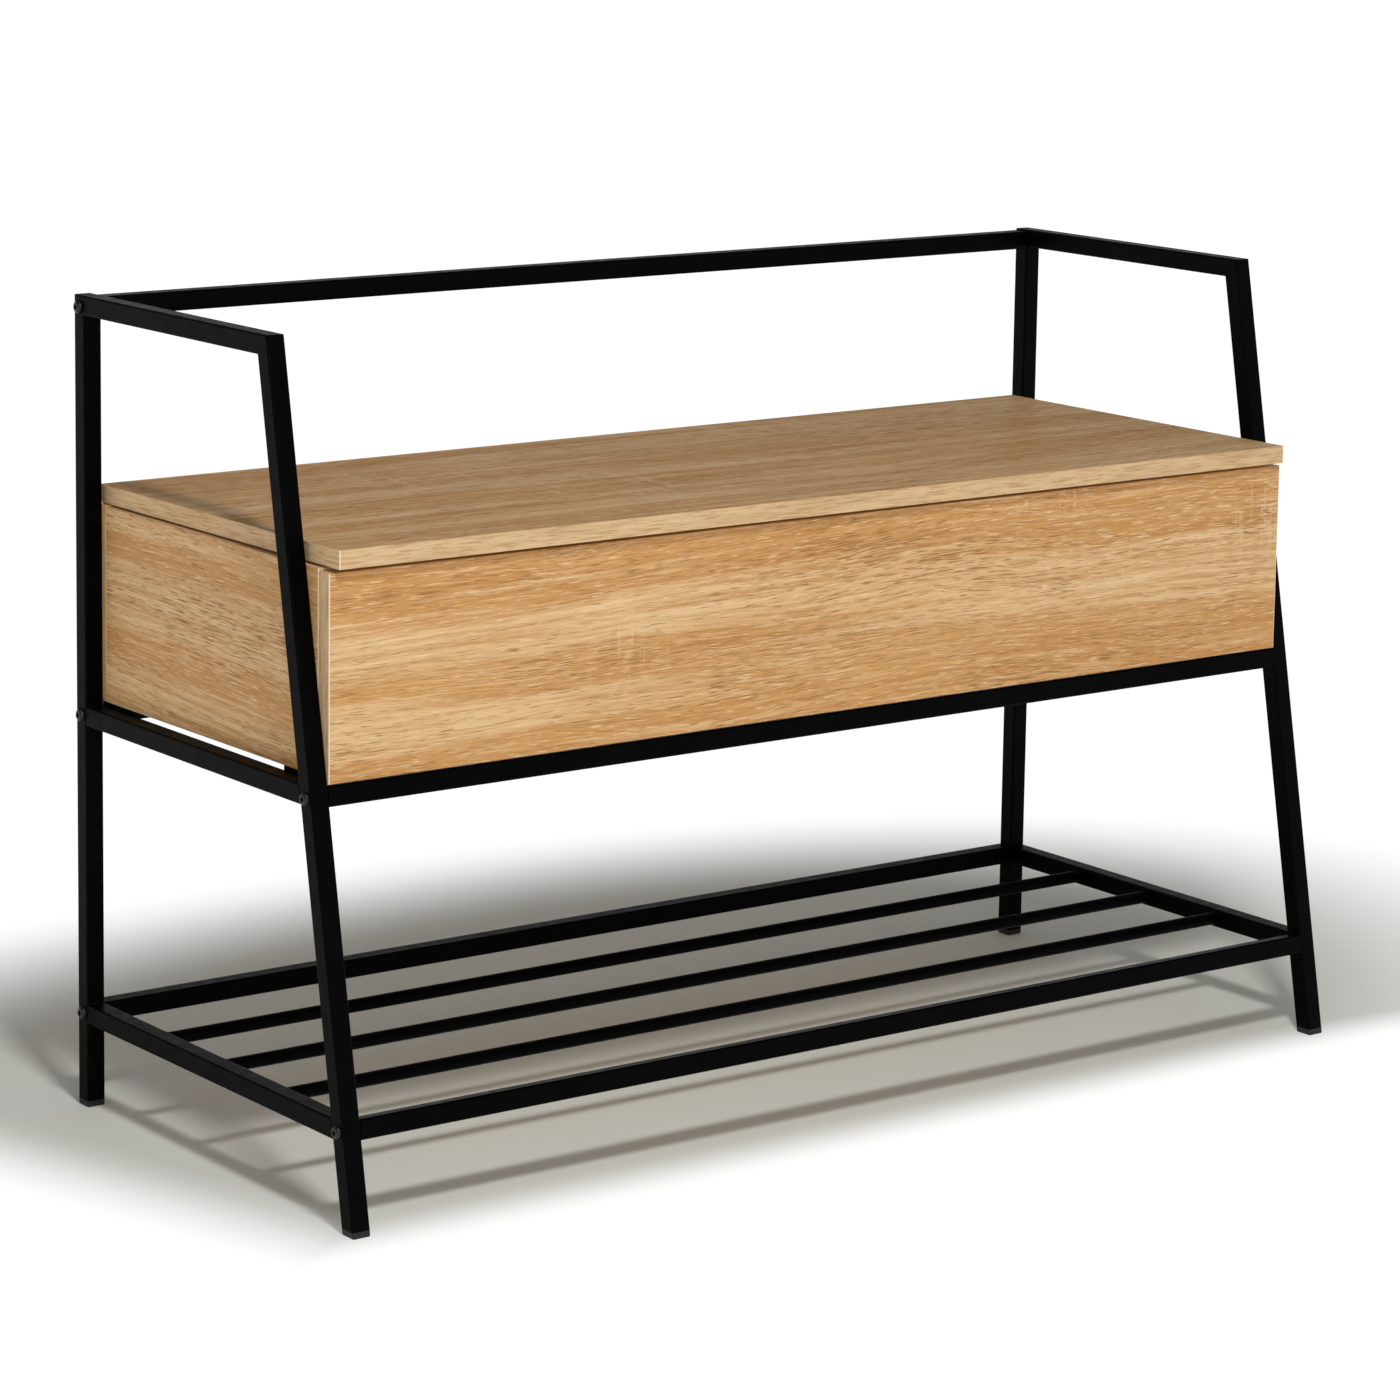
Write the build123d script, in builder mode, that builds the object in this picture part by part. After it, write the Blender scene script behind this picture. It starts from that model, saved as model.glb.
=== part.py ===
"""Entryway bench with a storage box under its lift-up seat.

Two welded end frames of square steel tube carry five long tubes, a shoe shelf of three
round rods and a flat-pack box of 15 mm board. The seat is the lid of the box.
X runs along the bench, the front is towards -Y and the floor is Z = 0. Sizes in millimetres.
"""
import os
from math import atan2, cos, degrees, sin

from build123d import *

os.makedirs("parts", exist_ok=True)

# Overall size of the frame
LENGTH = 1000
DEPTH = 415
ARM_DEPTH = 291
HEIGHT = 665

# Square tube of the frame
TUBE = 16
WALL = 1.2
TUBE_CORNER = 1.8

# Heights of the tube tops, and of the plastic caps under the legs
ARM_TOP = HEIGHT
REAR_TOP_RAIL_TOP = 663.5
MIDDLE_RAIL_TOP = 333
LOW_RAIL_TOP = 86
CAP_HEIGHT = 5

# Box of 15 mm board with rounded edge bands
BOARD = 15
BOARD_EDGE = 0.7
FRONT_PANEL_FACE = -146.5
BACK_PANEL_FACE = 201.5
BOX_BOTTOM = 336
FRONT_PANEL_BOTTOM = 333
FRONT_PANEL_TOP = 493
SIDE_PANEL_TOP = 495
BACK_PANEL_TOP = 496
HINGE_SEAT = 494

# Lid, which is the seat
LID_LENGTH = 960
LID_BOTTOM = 496.5
LID_FRONT = -154.5

REAR = DEPTH / 2
INNER_X = LENGTH / 2 - TUBE
TUBE_X = LENGTH / 2 - TUBE / 2
SIDES = ((-1, "left"), (1, "right"))

# The front legs lean back towards the top
LEAN = atan2(DEPTH - ARM_DEPTH, HEIGHT)
LEG_DEPTH = TUBE / cos(LEAN)
UP_FRONT_LEG = (0, sin(LEAN), cos(LEAN))
ACROSS_FRONT_LEG = (0, cos(LEAN), -sin(LEAN))


def front_face_y(z):
    """Y of the front face of the front legs at height z."""
    return -DEPTH / 2 + (DEPTH - ARM_DEPTH) * z / HEIGHT


def front_leg_y(z):
    """Y of the centre line of the front legs at height z."""
    return front_face_y(z) + LEG_DEPTH / 2


# Centre lines of the five long tubes: y, z and whether the tube is turned with the front leg
REAR_TUBE_Y = REAR - TUBE / 2
FRONT_MIDDLE_Z = 322.8
FRONT_LOW_Z = 77.3
REAR_TOP = (REAR_TUBE_Y, REAR_TOP_RAIL_TOP - TUBE / 2, False)
REAR_MIDDLE = (REAR_TUBE_Y, MIDDLE_RAIL_TOP - TUBE / 2, False)
REAR_LOW = (REAR_TUBE_Y, LOW_RAIL_TOP - TUBE / 2, False)
FRONT_MIDDLE = (front_leg_y(FRONT_MIDDLE_Z), FRONT_MIDDLE_Z, True)
FRONT_LOW = (front_leg_y(FRONT_LOW_Z), FRONT_LOW_Z, True)
LONG_TUBES = (REAR_TOP, REAR_MIDDLE, REAR_LOW, FRONT_MIDDLE, FRONT_LOW)

# Frame bolts: M6 button heads with a 4 mm socket
BOLT_R = 3
BOLT_HOLE_R = 3.2
BOLT_LENGTH = 30
BOLT_HEAD_R = 5.25
BOLT_HEAD_HEIGHT = 3.2
BOLT_SOCKET = 4
BOLT_SOCKET_DEPTH = 1.9


def export(part, label):
    """Name one piece and write it to its own file."""
    part.label = label
    export_step(part, f"parts/{label}.step")


def square_tube(section, length, cuts=(), bolt_points=()):
    """Hollow square tube along the normal of its section plane.

    Each cut plane keeps the side its normal points to. Bolt points are (y, z) centres of
    holes straight through both walls along X.
    """
    with BuildPart() as tube:
        with BuildSketch(section):
            RectangleRounded(TUBE, TUBE, TUBE_CORNER)
            RectangleRounded(
                TUBE - 2 * WALL, TUBE - 2 * WALL, TUBE_CORNER - WALL, mode=Mode.SUBTRACT
            )
        extrude(amount=length)
        for plane in cuts:
            split(bisect_by=plane, keep=Keep.TOP)
        if bolt_points:
            with BuildSketch(Plane.YZ.offset(section.origin.X)):
                with Locations(*bolt_points):
                    Circle(BOLT_HOLE_R)
            extrude(amount=TUBE, both=True, mode=Mode.SUBTRACT)
    return tube.part


# ---------------------------------------------------------------- end frames
# Mitre planes where the arm rail meets the rear leg and the front leg
REAR_MITRE = Plane(origin=(0, REAR, HEIGHT), x_dir=(1, 0, 0), z_dir=(0, 1, -1))
INNER_FRONT_Y = front_face_y(HEIGHT - TUBE) + LEG_DEPTH
MITRE_RUN = INNER_FRONT_Y - front_face_y(HEIGHT)
FRONT_MITRE = Plane(
    origin=(0, front_face_y(HEIGHT), HEIGHT), x_dir=(1, 0, 0), z_dir=(0, -TUBE, -MITRE_RUN)
)
FLOOR_CUT = Plane.XY.offset(CAP_HEIGHT)


def front_leg_back(z):
    """Plane of the rear face of the front leg, facing the rear."""
    return Plane(
        origin=(0, front_face_y(z) + LEG_DEPTH, z), x_dir=(1, 0, 0), z_dir=ACROSS_FRONT_LEG
    )


def flipped(plane):
    """The same plane facing the other way."""
    return Plane(origin=plane.origin, x_dir=plane.x_dir, z_dir=-plane.z_dir)


for side, side_name in SIDES:
    tube_x = side * TUBE_X

    # Upright rear leg, mitred at the top
    rear_leg_foot = Plane(origin=(tube_x, REAR_TUBE_Y, CAP_HEIGHT), x_dir=(1, 0, 0))
    rear_leg = square_tube(
        rear_leg_foot,
        HEIGHT - CAP_HEIGHT,
        cuts=(REAR_MITRE,),
        bolt_points=[tube[:2] for tube in (REAR_TOP, REAR_MIDDLE, REAR_LOW)],
    )
    export(rear_leg, f"{side_name}_rear_leg")

    # Front leg leaning back, cut level at the foot and mitred at the top
    below_foot = Plane(
        origin=(tube_x, front_leg_y(-TUBE), -TUBE), x_dir=(1, 0, 0), z_dir=UP_FRONT_LEG
    )
    front_leg = square_tube(
        below_foot,
        HEIGHT / cos(LEAN) + 3 * TUBE,
        cuts=(FLOOR_CUT, FRONT_MITRE),
        bolt_points=[tube[:2] for tube in (FRONT_MIDDLE, FRONT_LOW)],
    )
    export(front_leg, f"{side_name}_front_leg")

    # Arm rail across the top, mitred at both ends
    arm_end = Plane(
        origin=(tube_x, REAR, ARM_TOP - TUBE / 2), x_dir=(1, 0, 0), z_dir=(0, -1, 0)
    )
    arm_rail = square_tube(
        arm_end,
        ARM_DEPTH,
        cuts=(flipped(REAR_MITRE), flipped(FRONT_MITRE)),
        bolt_points=[REAR_TOP[:2]],
    )
    export(arm_rail, f"{side_name}_arm_rail")

    # Middle and low side rails, butted between the legs
    for top, rail_name in ((MIDDLE_RAIL_TOP, "middle_rail"), (LOW_RAIL_TOP, "low_rail")):
        rail_end = Plane(
            origin=(tube_x, REAR - TUBE, top - TUBE / 2), x_dir=(1, 0, 0), z_dir=(0, -1, 0)
        )
        side_rail = square_tube(rail_end, DEPTH, cuts=(front_leg_back(top),))
        export(side_rail, f"{side_name}_{rail_name}")


# ---------------------------------------------------------------- foot caps
CAP_PLUG = TUBE - 2 * WALL - 0.2
CAP_PLUG_LENGTH = 14
CAP_CHAMFER = 0.9


def foot_cap(x, y, depth, up):
    """Plastic cap: a collar the size of the tube with a plug that goes up inside it."""
    with BuildPart() as cap:
        with BuildSketch(Plane.XY):
            with Locations((x, y)):
                RectangleRounded(TUBE, depth, TUBE_CORNER)
        extrude(amount=CAP_HEIGHT / up[2], dir=up)
        chamfer(cap.faces().sort_by(Axis.Z)[0].edges(), CAP_CHAMFER)
        plug_start = (x, y + 2 * up[1] / up[2], 2)
        with BuildSketch(Plane(origin=plug_start, x_dir=(1, 0, 0), z_dir=up)):
            RectangleRounded(CAP_PLUG, CAP_PLUG, 1)
        extrude(amount=CAP_PLUG_LENGTH)
    return cap.part


for side, side_name in SIDES:
    rear_cap = foot_cap(side * TUBE_X, REAR_TUBE_Y, TUBE, (0, 0, 1))
    export(rear_cap, f"foot_cap_{side_name}_rear")
    front_cap = foot_cap(side * TUBE_X, front_leg_y(0), LEG_DEPTH, UP_FRONT_LEG)
    export(front_cap, f"foot_cap_{side_name}_front")


# ---------------------------------------------------------------- long tubes
def rail_section(tube, x, inward=1):
    """Section plane of a long tube at x, facing along +X or, with inward -1, along -X."""
    y, z, turned = tube
    across = ACROSS_FRONT_LEG if turned else (0, 1, 0)
    return Plane(origin=(x, y, z), x_dir=across, z_dir=(inward, 0, 0))


for tube, tube_name in zip(
    LONG_TUBES,
    ("rear_top_rail", "rear_middle_rail", "rear_low_rail", "front_middle_rail", "front_low_rail"),
):
    export(square_tube(rail_section(tube, -INNER_X), 2 * INNER_X), tube_name)

# Nut blocks welded just inside both ends of every long tube
NUT_BLOCK = TUBE - 2 * WALL - 0.1
NUT_BLOCK_LENGTH = 8
NUT_BLOCK_INSET = 1
NUT_BORE_R = 3.05

with BuildPart() as rail_end_nuts:
    for tube in LONG_TUBES:
        for side, side_name in SIDES:
            outer_end = side * (INNER_X - NUT_BLOCK_INSET)
            with BuildSketch(rail_section(tube, outer_end, -side)):
                RectangleRounded(NUT_BLOCK, NUT_BLOCK, 0.7)
                Circle(NUT_BORE_R, mode=Mode.SUBTRACT)
            extrude(amount=NUT_BLOCK_LENGTH)
export(rail_end_nuts.part, "rail_end_nuts")

# One button-head bolt along +X with its head on the left
with BuildPart() as frame_bolt:
    with BuildSketch(Plane.YZ):
        Circle(BOLT_R)
    extrude(amount=BOLT_LENGTH)
    chamfer(frame_bolt.edges().sort_by(Axis.X)[-1], 0.6)
    with BuildSketch(Plane.YZ):
        Circle(BOLT_HEAD_R)
    extrude(amount=-BOLT_HEAD_HEIGHT)
    fillet(frame_bolt.faces().sort_by(Axis.X)[0].edges(), 2.6)
    with BuildSketch(Plane.YZ.offset(-BOLT_HEAD_HEIGHT)):
        RegularPolygon(BOLT_SOCKET / 2, 6, major_radius=False)
    extrude(amount=BOLT_SOCKET_DEPTH, mode=Mode.SUBTRACT)

with BuildPart() as frame_bolts:
    for y, z, turned in LONG_TUBES:
        with Locations(Location((-LENGTH / 2, y, z)), Location((LENGTH / 2, y, z), (0, 0, 180))):
            add(frame_bolt.part)
export(frame_bolts.part, "frame_bolts")


# ---------------------------------------------------------------- shoe shelf
ROD_R = 5.5
ROD_WALL = 1
ROD_Z = LOW_RAIL_TOP - TUBE / 2
ROD_PITCH = 90
MIDDLE_ROD_Y = 6

for step, rod_name in ((-1, "front"), (0, "middle"), (1, "rear")):
    with BuildPart() as shelf_rod:
        rod_y = MIDDLE_ROD_Y + step * ROD_PITCH
        with BuildSketch(Plane(origin=(-INNER_X, rod_y, ROD_Z), x_dir=(0, 1, 0), z_dir=(1, 0, 0))):
            Circle(ROD_R)
            Circle(ROD_R - ROD_WALL, mode=Mode.SUBTRACT)
        extrude(amount=2 * INNER_X)
    export(shelf_rod.part, f"shelf_rod_{rod_name}")


# ---------------------------------------------------------------- box brackets
BRACKET_LENGTH = 45
BRACKET_WIDTH = 40
BRACKET_DROP = 18
BRACKET_THICKNESS = 3
BRACKET_SCREW_X = INNER_X - 26
BRACKET_SCREW_SPACING = 22
REAR_BRACKET_Y = REAR - TUBE - BRACKET_LENGTH
FRONT_BRACKET_Y = front_face_y(BOX_BOTTOM) + LEG_DEPTH + 0.2
BRACKET_SCREWS = [
    (side * BRACKET_SCREW_X, start + BRACKET_LENGTH / 2 + step * BRACKET_SCREW_SPACING / 2)
    for side in (-1, 1)
    for start in (FRONT_BRACKET_Y, REAR_BRACKET_Y)
    for step in (-1, 1)
]

with BuildPart() as box_brackets:
    for side, side_name in SIDES:
        for start in (FRONT_BRACKET_Y, REAR_BRACKET_Y):
            with BuildSketch(Plane.XZ.offset(-start)):
                with Locations((side * (INNER_X - BRACKET_WIDTH / 2), BOX_BOTTOM)):
                    Rectangle(BRACKET_WIDTH, BRACKET_THICKNESS, align=(Align.CENTER, Align.MAX))
                with Locations((side * (INNER_X - BRACKET_THICKNESS / 2), BOX_BOTTOM)):
                    Rectangle(BRACKET_THICKNESS, BRACKET_DROP, align=(Align.CENTER, Align.MAX))
            extrude(amount=-BRACKET_LENGTH)
    with BuildSketch(Plane.XY.offset(BOX_BOTTOM)):
        with Locations(*BRACKET_SCREWS):
            Circle(2.3)
    extrude(amount=-BRACKET_THICKNESS, mode=Mode.SUBTRACT)
export(box_brackets.part, "box_brackets")

# Pan-head screws up through the brackets into the bottom panel
BRACKET_SCREW_R = 2
BRACKET_SCREW_DEPTH = 10
SCREW_FIT = 0.05

with BuildPart() as bracket_screws:
    with BuildSketch(Plane.XY.offset(BOX_BOTTOM - BRACKET_THICKNESS)):
        with Locations(*BRACKET_SCREWS):
            Circle(BRACKET_SCREW_R - SCREW_FIT)
    extrude(amount=BRACKET_THICKNESS + BRACKET_SCREW_DEPTH)
    with BuildSketch(Plane.XY.offset(BOX_BOTTOM - BRACKET_THICKNESS)):
        with Locations(*BRACKET_SCREWS):
            Circle(4)
    extrude(amount=-2.4)
    fillet(bracket_screws.faces().group_by(Axis.Z)[0].edges(), 1.2)
export(bracket_screws.part, "bracket_screws")


# ---------------------------------------------------------------- fittings of the box
# Positions shared by the boards, the dowels and the cam locks
FRONT_JOINT_Y = FRONT_PANEL_FACE + BOARD
BACK_JOINT_Y = BACK_PANEL_FACE - BOARD
SIDE_JOINT_X = INNER_X - BOARD
MID_BOARD_X = INNER_X - BOARD / 2
BOTTOM_MID_Z = BOX_BOTTOM + BOARD / 2
CAM_HEIGHTS = (376, 456)
CORNER_DOWEL_Z = 416
CAM_FROM_JOINT = 24
CAM_POCKET_R = 7.5
CAM_POCKET_DEPTH = 12.5
CAM_BOLT_HOLE_R = 3.5
CAM_THREAD_R = 2.5
CAM_THREAD_DEPTH = 11
DOWEL_R = 4
DOWEL_HOLE_R = 4.05
DOWEL_SHORT = 9
DOWEL_LONG = 21
DOWEL_CLEARANCE = 0.5
END_DOWEL_Y = (-80, 27.5, 135)
LONG_DOWEL_X = (-390, -130, 130, 390)

# Each joint: y of the joint face and the direction in which the side panel lies
CORNER_JOINTS = ((FRONT_JOINT_Y, 1), (BACK_JOINT_Y, -1))


def drill(plane, points, radius, depth):
    """Round holes cut from the plane against its normal."""
    with BuildSketch(plane) as holes:
        with Locations(*points):
            Circle(radius)
    extrude(holes.sketch, amount=-depth, mode=Mode.SUBTRACT)


def facing_y(y, direction):
    """Plane at y whose normal points along direction; its local x is X and local y is Z."""
    return Plane(origin=(0, y, 0), x_dir=(-direction, 0, 0), z_dir=(0, direction, 0))


def facing_x(x, direction):
    """Plane at x whose normal points along direction; its local x is Y and local y is Z."""
    return Plane(origin=(x, 0, 0), x_dir=(0, direction, 0), z_dir=(direction, 0, 0))


# ---------------------------------------------------------------- boards of the box
def long_panel(outer_y, inward, bottom, top):
    """Front or back panel with its blind holes in the inner face."""
    joint = outer_y + inward * BOARD
    with BuildPart() as panel:
        with BuildSketch(facing_y(outer_y, inward)):
            with Locations((0, (bottom + top) / 2)):
                Rectangle(2 * INNER_X, top - bottom)
        extrude(amount=BOARD)
        fillet(panel.edges(), BOARD_EDGE)
        inner_face = facing_y(joint, inward)
        cams = [(side * MID_BOARD_X, z) for side in (-1, 1) for z in CAM_HEIGHTS]
        drill(inner_face, cams, CAM_THREAD_R, CAM_THREAD_DEPTH)
        dowels = [(side * MID_BOARD_X, CORNER_DOWEL_Z) for side in (-1, 1)]
        dowels += [(x, BOTTOM_MID_Z) for x in LONG_DOWEL_X]
        drill(inner_face, dowels, DOWEL_HOLE_R, DOWEL_SHORT)
    return panel.part


HINGE_CENTRES = (-330, 0, 330)
HINGE_LENGTH = 60
HINGE_NOTCH_GAP = 0.4
HINGE_SCREW_Y = 194
BOX_SCREW_OFFSET = 24
BOX_SCREW_LENGTH = 14
LID_SCREW_OFFSET = 12
LID_SCREW_LENGTH = 10
HINGE_SCREW_R = 1.5
BOX_HINGE_SCREWS = [
    (centre + step * BOX_SCREW_OFFSET, HINGE_SCREW_Y) for centre in HINGE_CENTRES for step in (-1, 1)
]
LID_HINGE_SCREWS = [
    (centre + step * LID_SCREW_OFFSET, HINGE_SCREW_Y) for centre in HINGE_CENTRES for step in (-1, 1)
]

export(long_panel(FRONT_PANEL_FACE, 1, FRONT_PANEL_BOTTOM, FRONT_PANEL_TOP), "front_panel")

# The back panel is notched for the hinges
with BuildPart() as back_panel:
    add(long_panel(BACK_PANEL_FACE, -1, BOX_BOTTOM, BACK_PANEL_TOP))
    with BuildSketch(Plane.XY.offset(HINGE_SEAT)):
        with Locations(*[(centre, BACK_PANEL_FACE) for centre in HINGE_CENTRES]):
            Rectangle(HINGE_LENGTH + 2 * HINGE_NOTCH_GAP, 3 * BOARD)
    extrude(amount=BOARD, mode=Mode.SUBTRACT)
    drill(Plane.XY.offset(HINGE_SEAT), BOX_HINGE_SCREWS, HINGE_SCREW_R, BOX_SCREW_LENGTH)
export(back_panel.part, "back_panel")

for side, side_name in SIDES:
    with BuildPart() as side_panel:
        with BuildSketch(facing_x(side * INNER_X, -side)):
            middle_y = (FRONT_JOINT_Y + BACK_JOINT_Y) / 2
            with Locations((-side * middle_y, (BOX_BOTTOM + SIDE_PANEL_TOP) / 2)):
                Rectangle(BACK_JOINT_Y - FRONT_JOINT_Y, SIDE_PANEL_TOP - BOX_BOTTOM)
        extrude(amount=BOARD)
        fillet(side_panel.edges(), BOARD_EDGE)
        inner_face = facing_x(side * SIDE_JOINT_X, -side)
        for joint_y, inward in CORNER_JOINTS:
            cam_y = joint_y + inward * CAM_FROM_JOINT
            end_face = facing_y(joint_y, -inward)
            board_x = inward * side * MID_BOARD_X
            pockets = [(-side * cam_y, z) for z in CAM_HEIGHTS]
            drill(inner_face, pockets, CAM_POCKET_R, CAM_POCKET_DEPTH)
            drill(end_face, [(board_x, z) for z in CAM_HEIGHTS], CAM_BOLT_HOLE_R, CAM_FROM_JOINT)
            drill(
                end_face,
                [(board_x, CORNER_DOWEL_Z)],
                DOWEL_HOLE_R,
                DOWEL_LONG + DOWEL_CLEARANCE,
            )
        bottom_dowels = [(-side * y, BOTTOM_MID_Z) for y in END_DOWEL_Y]
        drill(inner_face, bottom_dowels, DOWEL_HOLE_R, DOWEL_SHORT)
    export(side_panel.part, f"{side_name}_side_panel")

with BuildPart() as bottom_panel:
    with BuildSketch(Plane.XY.offset(BOX_BOTTOM)):
        with Locations((0, (FRONT_JOINT_Y + BACK_JOINT_Y) / 2)):
            Rectangle(2 * SIDE_JOINT_X, BACK_JOINT_Y - FRONT_JOINT_Y)
    extrude(amount=BOARD)
    fillet(bottom_panel.edges(), BOARD_EDGE)
    hole_depth = DOWEL_LONG + DOWEL_CLEARANCE
    for side, side_name in SIDES:
        end_points = [(side * y, BOTTOM_MID_Z) for y in END_DOWEL_Y]
        drill(facing_x(side * SIDE_JOINT_X, side), end_points, DOWEL_HOLE_R, hole_depth)
    for joint_y, inward in CORNER_JOINTS:
        long_points = [(x, BOTTOM_MID_Z) for x in LONG_DOWEL_X]
        drill(facing_y(joint_y, -inward), long_points, DOWEL_HOLE_R, hole_depth)
    screw_plane = Plane(origin=(0, 0, BOX_BOTTOM), x_dir=(1, 0, 0), z_dir=(0, 0, -1))
    screw_points = [(x, -y) for x, y in BRACKET_SCREWS]
    drill(screw_plane, screw_points, BRACKET_SCREW_R, BRACKET_SCREW_DEPTH)
export(bottom_panel.part, "bottom_panel")


# ---------------------------------------------------------------- dowels and cam locks
DOWEL_SHIFT = (DOWEL_LONG - DOWEL_SHORT) / 2
DOWEL_LENGTH = DOWEL_LONG + DOWEL_SHORT

with BuildPart() as panel_dowels:
    for side, side_name in SIDES:
        ends = [
            (side * (SIDE_JOINT_X - DOWEL_SHIFT), y, BOTTOM_MID_Z) for y in END_DOWEL_Y
        ]
        with Locations(*ends):
            Cylinder(DOWEL_R, DOWEL_LENGTH, rotation=(0, 90, 0))
    for joint_y, inward in CORNER_JOINTS:
        middle_y = joint_y + inward * DOWEL_SHIFT
        alongs = [(x, middle_y, BOTTOM_MID_Z) for x in LONG_DOWEL_X]
        alongs += [(side * MID_BOARD_X, middle_y, CORNER_DOWEL_Z) for side in (-1, 1)]
        with Locations(*alongs):
            Cylinder(DOWEL_R, DOWEL_LENGTH, rotation=(90, 0, 0))
export(panel_dowels.part, "panel_dowels")

# Cam disc along +Z in its own frame: slot for the bolt head from the -Y side, cross on top
CAM_R = 7.35
CAM_HEIGHT = 12
CAM_AXIS = BOARD / 2
CAM_SLOT_R = 3.7
CAM_BOLT_R = 3
CAM_BOLT_GAP = 3.5

with BuildPart() as cam:
    with BuildSketch(Plane.XY):
        Circle(CAM_R)
    extrude(amount=CAM_HEIGHT)
    with BuildSketch(Plane.XZ):
        with Locations((0, CAM_HEIGHT - CAM_AXIS)):
            Circle(CAM_SLOT_R)
    extrude(amount=CAM_R, mode=Mode.SUBTRACT)
    with BuildSketch(Plane.XY.offset(CAM_HEIGHT)):
        Rectangle(8, 1.4)
        Rectangle(1.4, 8)
    extrude(amount=-0.7, mode=Mode.SUBTRACT)

with BuildPart() as cam_bolt:
    with BuildSketch(Plane.XZ):
        Circle(CAM_THREAD_R - SCREW_FIT)
    extrude(amount=CAM_THREAD_DEPTH)
    with BuildSketch(Plane.XZ):
        Circle(CAM_BOLT_R)
    extrude(amount=-(CAM_FROM_JOINT - CAM_BOLT_GAP))

# The cam top lies flush with the inner face of the side panel
cam_places = []
bolt_places = []
for side, side_name in SIDES:
    for joint_y, inward in CORNER_JOINTS:
        for cam_z in CAM_HEIGHTS:
            cam_frame = Plane(
                origin=(side * (SIDE_JOINT_X + CAM_HEIGHT), joint_y + inward * CAM_FROM_JOINT, cam_z),
                x_dir=(0, 0, side * inward),
                z_dir=(-side, 0, 0),
            )
            cam_places.append(cam_frame.location)
            turn = 0 if inward > 0 else 180
            bolt_places.append(Location((side * MID_BOARD_X, joint_y, cam_z), (0, 0, turn)))

with BuildPart() as cam_locks:
    with Locations(*cam_places):
        add(cam.part)
export(cam_locks.part, "cam_locks")

with BuildPart() as cam_bolts:
    with Locations(*bolt_places):
        add(cam_bolt.part)
export(cam_bolts.part, "cam_bolts")


# ---------------------------------------------------------------- lid and its rubber pads
BUMPER_R = 4
BUMPER_X = LID_LENGTH / 2 - 5
BUMPER_Y = (-110, 160)

with BuildPart() as lid:
    with BuildSketch(Plane.XY.offset(LID_BOTTOM)):
        with Locations((0, (LID_FRONT + BACK_PANEL_FACE) / 2)):
            Rectangle(LID_LENGTH, BACK_PANEL_FACE - LID_FRONT)
    extrude(amount=BOARD)
    fillet(lid.edges(), BOARD_EDGE)
    lid_under = Plane(origin=(0, 0, LID_BOTTOM), x_dir=(1, 0, 0), z_dir=(0, 0, -1))
    drill(lid_under, [(x, -y) for x, y in LID_HINGE_SCREWS], HINGE_SCREW_R, LID_SCREW_LENGTH)
export(lid.part, "lid")

with BuildPart() as lid_bumpers:
    with BuildSketch(Plane.XY.offset(SIDE_PANEL_TOP)):
        with Locations(*[(side * BUMPER_X, y) for side in (-1, 1) for y in BUMPER_Y]):
            Circle(BUMPER_R)
    extrude(amount=LID_BOTTOM - SIDE_PANEL_TOP)
export(lid_bumpers.part, "lid_bumpers")


# ---------------------------------------------------------------- butt hinges
LEAF = (LID_BOTTOM - HINGE_SEAT) / 2
HINGE_Y = REAR - 2.7
HINGE_Z = HINGE_SEAT + LEAF
KNUCKLE_R = 2.6
PIN_R = 1.4
PIN_BORE_R = 1.45
PIN_HEAD_R = 1.9
PIN_HEAD_HEIGHT = 0.6
KNUCKLE = HINGE_LENGTH / 5
KNUCKLE_GAP = 0.3
LEAF_FRONT = BACK_JOINT_Y + 0.5
LEAF_BACK = BACK_PANEL_FACE - 0.2
SCREW_HEAD_R = 2.65
DOWN_FROM_AXIS = Plane.XY.offset(HINGE_Z)
UP_FROM_AXIS = Plane(origin=(0, 0, HINGE_Z), x_dir=(1, 0, 0), z_dir=(0, 0, -1))


def hinge_leaf(bottom_z, steps, screw_face, screw_points):
    """One leaf of all the hinges: plates, knuckles at the given fifths, countersunk holes."""
    with BuildPart() as leaf:
        for centre in HINGE_CENTRES:
            with BuildSketch(Plane.XY.offset(bottom_z)):
                with Locations((centre, (LEAF_FRONT + LEAF_BACK) / 2)):
                    Rectangle(HINGE_LENGTH, LEAF_BACK - LEAF_FRONT)
                with Locations(*[(centre + step * KNUCKLE, LEAF_BACK) for step in steps]):
                    Rectangle(
                        KNUCKLE - KNUCKLE_GAP,
                        HINGE_Y - LEAF_BACK,
                        align=(Align.CENTER, Align.MIN),
                    )
            extrude(amount=LEAF)
            for step in steps:
                start_x = centre + (step - 0.5) * KNUCKLE + KNUCKLE_GAP / 2
                with BuildSketch(Plane.YZ.offset(start_x)):
                    with Locations((HINGE_Y, HINGE_Z)):
                        Circle(KNUCKLE_R)
                extrude(amount=KNUCKLE - KNUCKLE_GAP)
            with BuildSketch(Plane.YZ.offset(centre)):
                with Locations((HINGE_Y, HINGE_Z)):
                    Circle(PIN_BORE_R)
            extrude(amount=HINGE_LENGTH / 2, both=True, mode=Mode.SUBTRACT)
        with Locations(screw_face.location):
            with Locations(*screw_points):
                CounterSinkHole(HINGE_SCREW_R, SCREW_HEAD_R, depth=2 * LEAF, counter_sink_angle=90)
    return leaf.part


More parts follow.
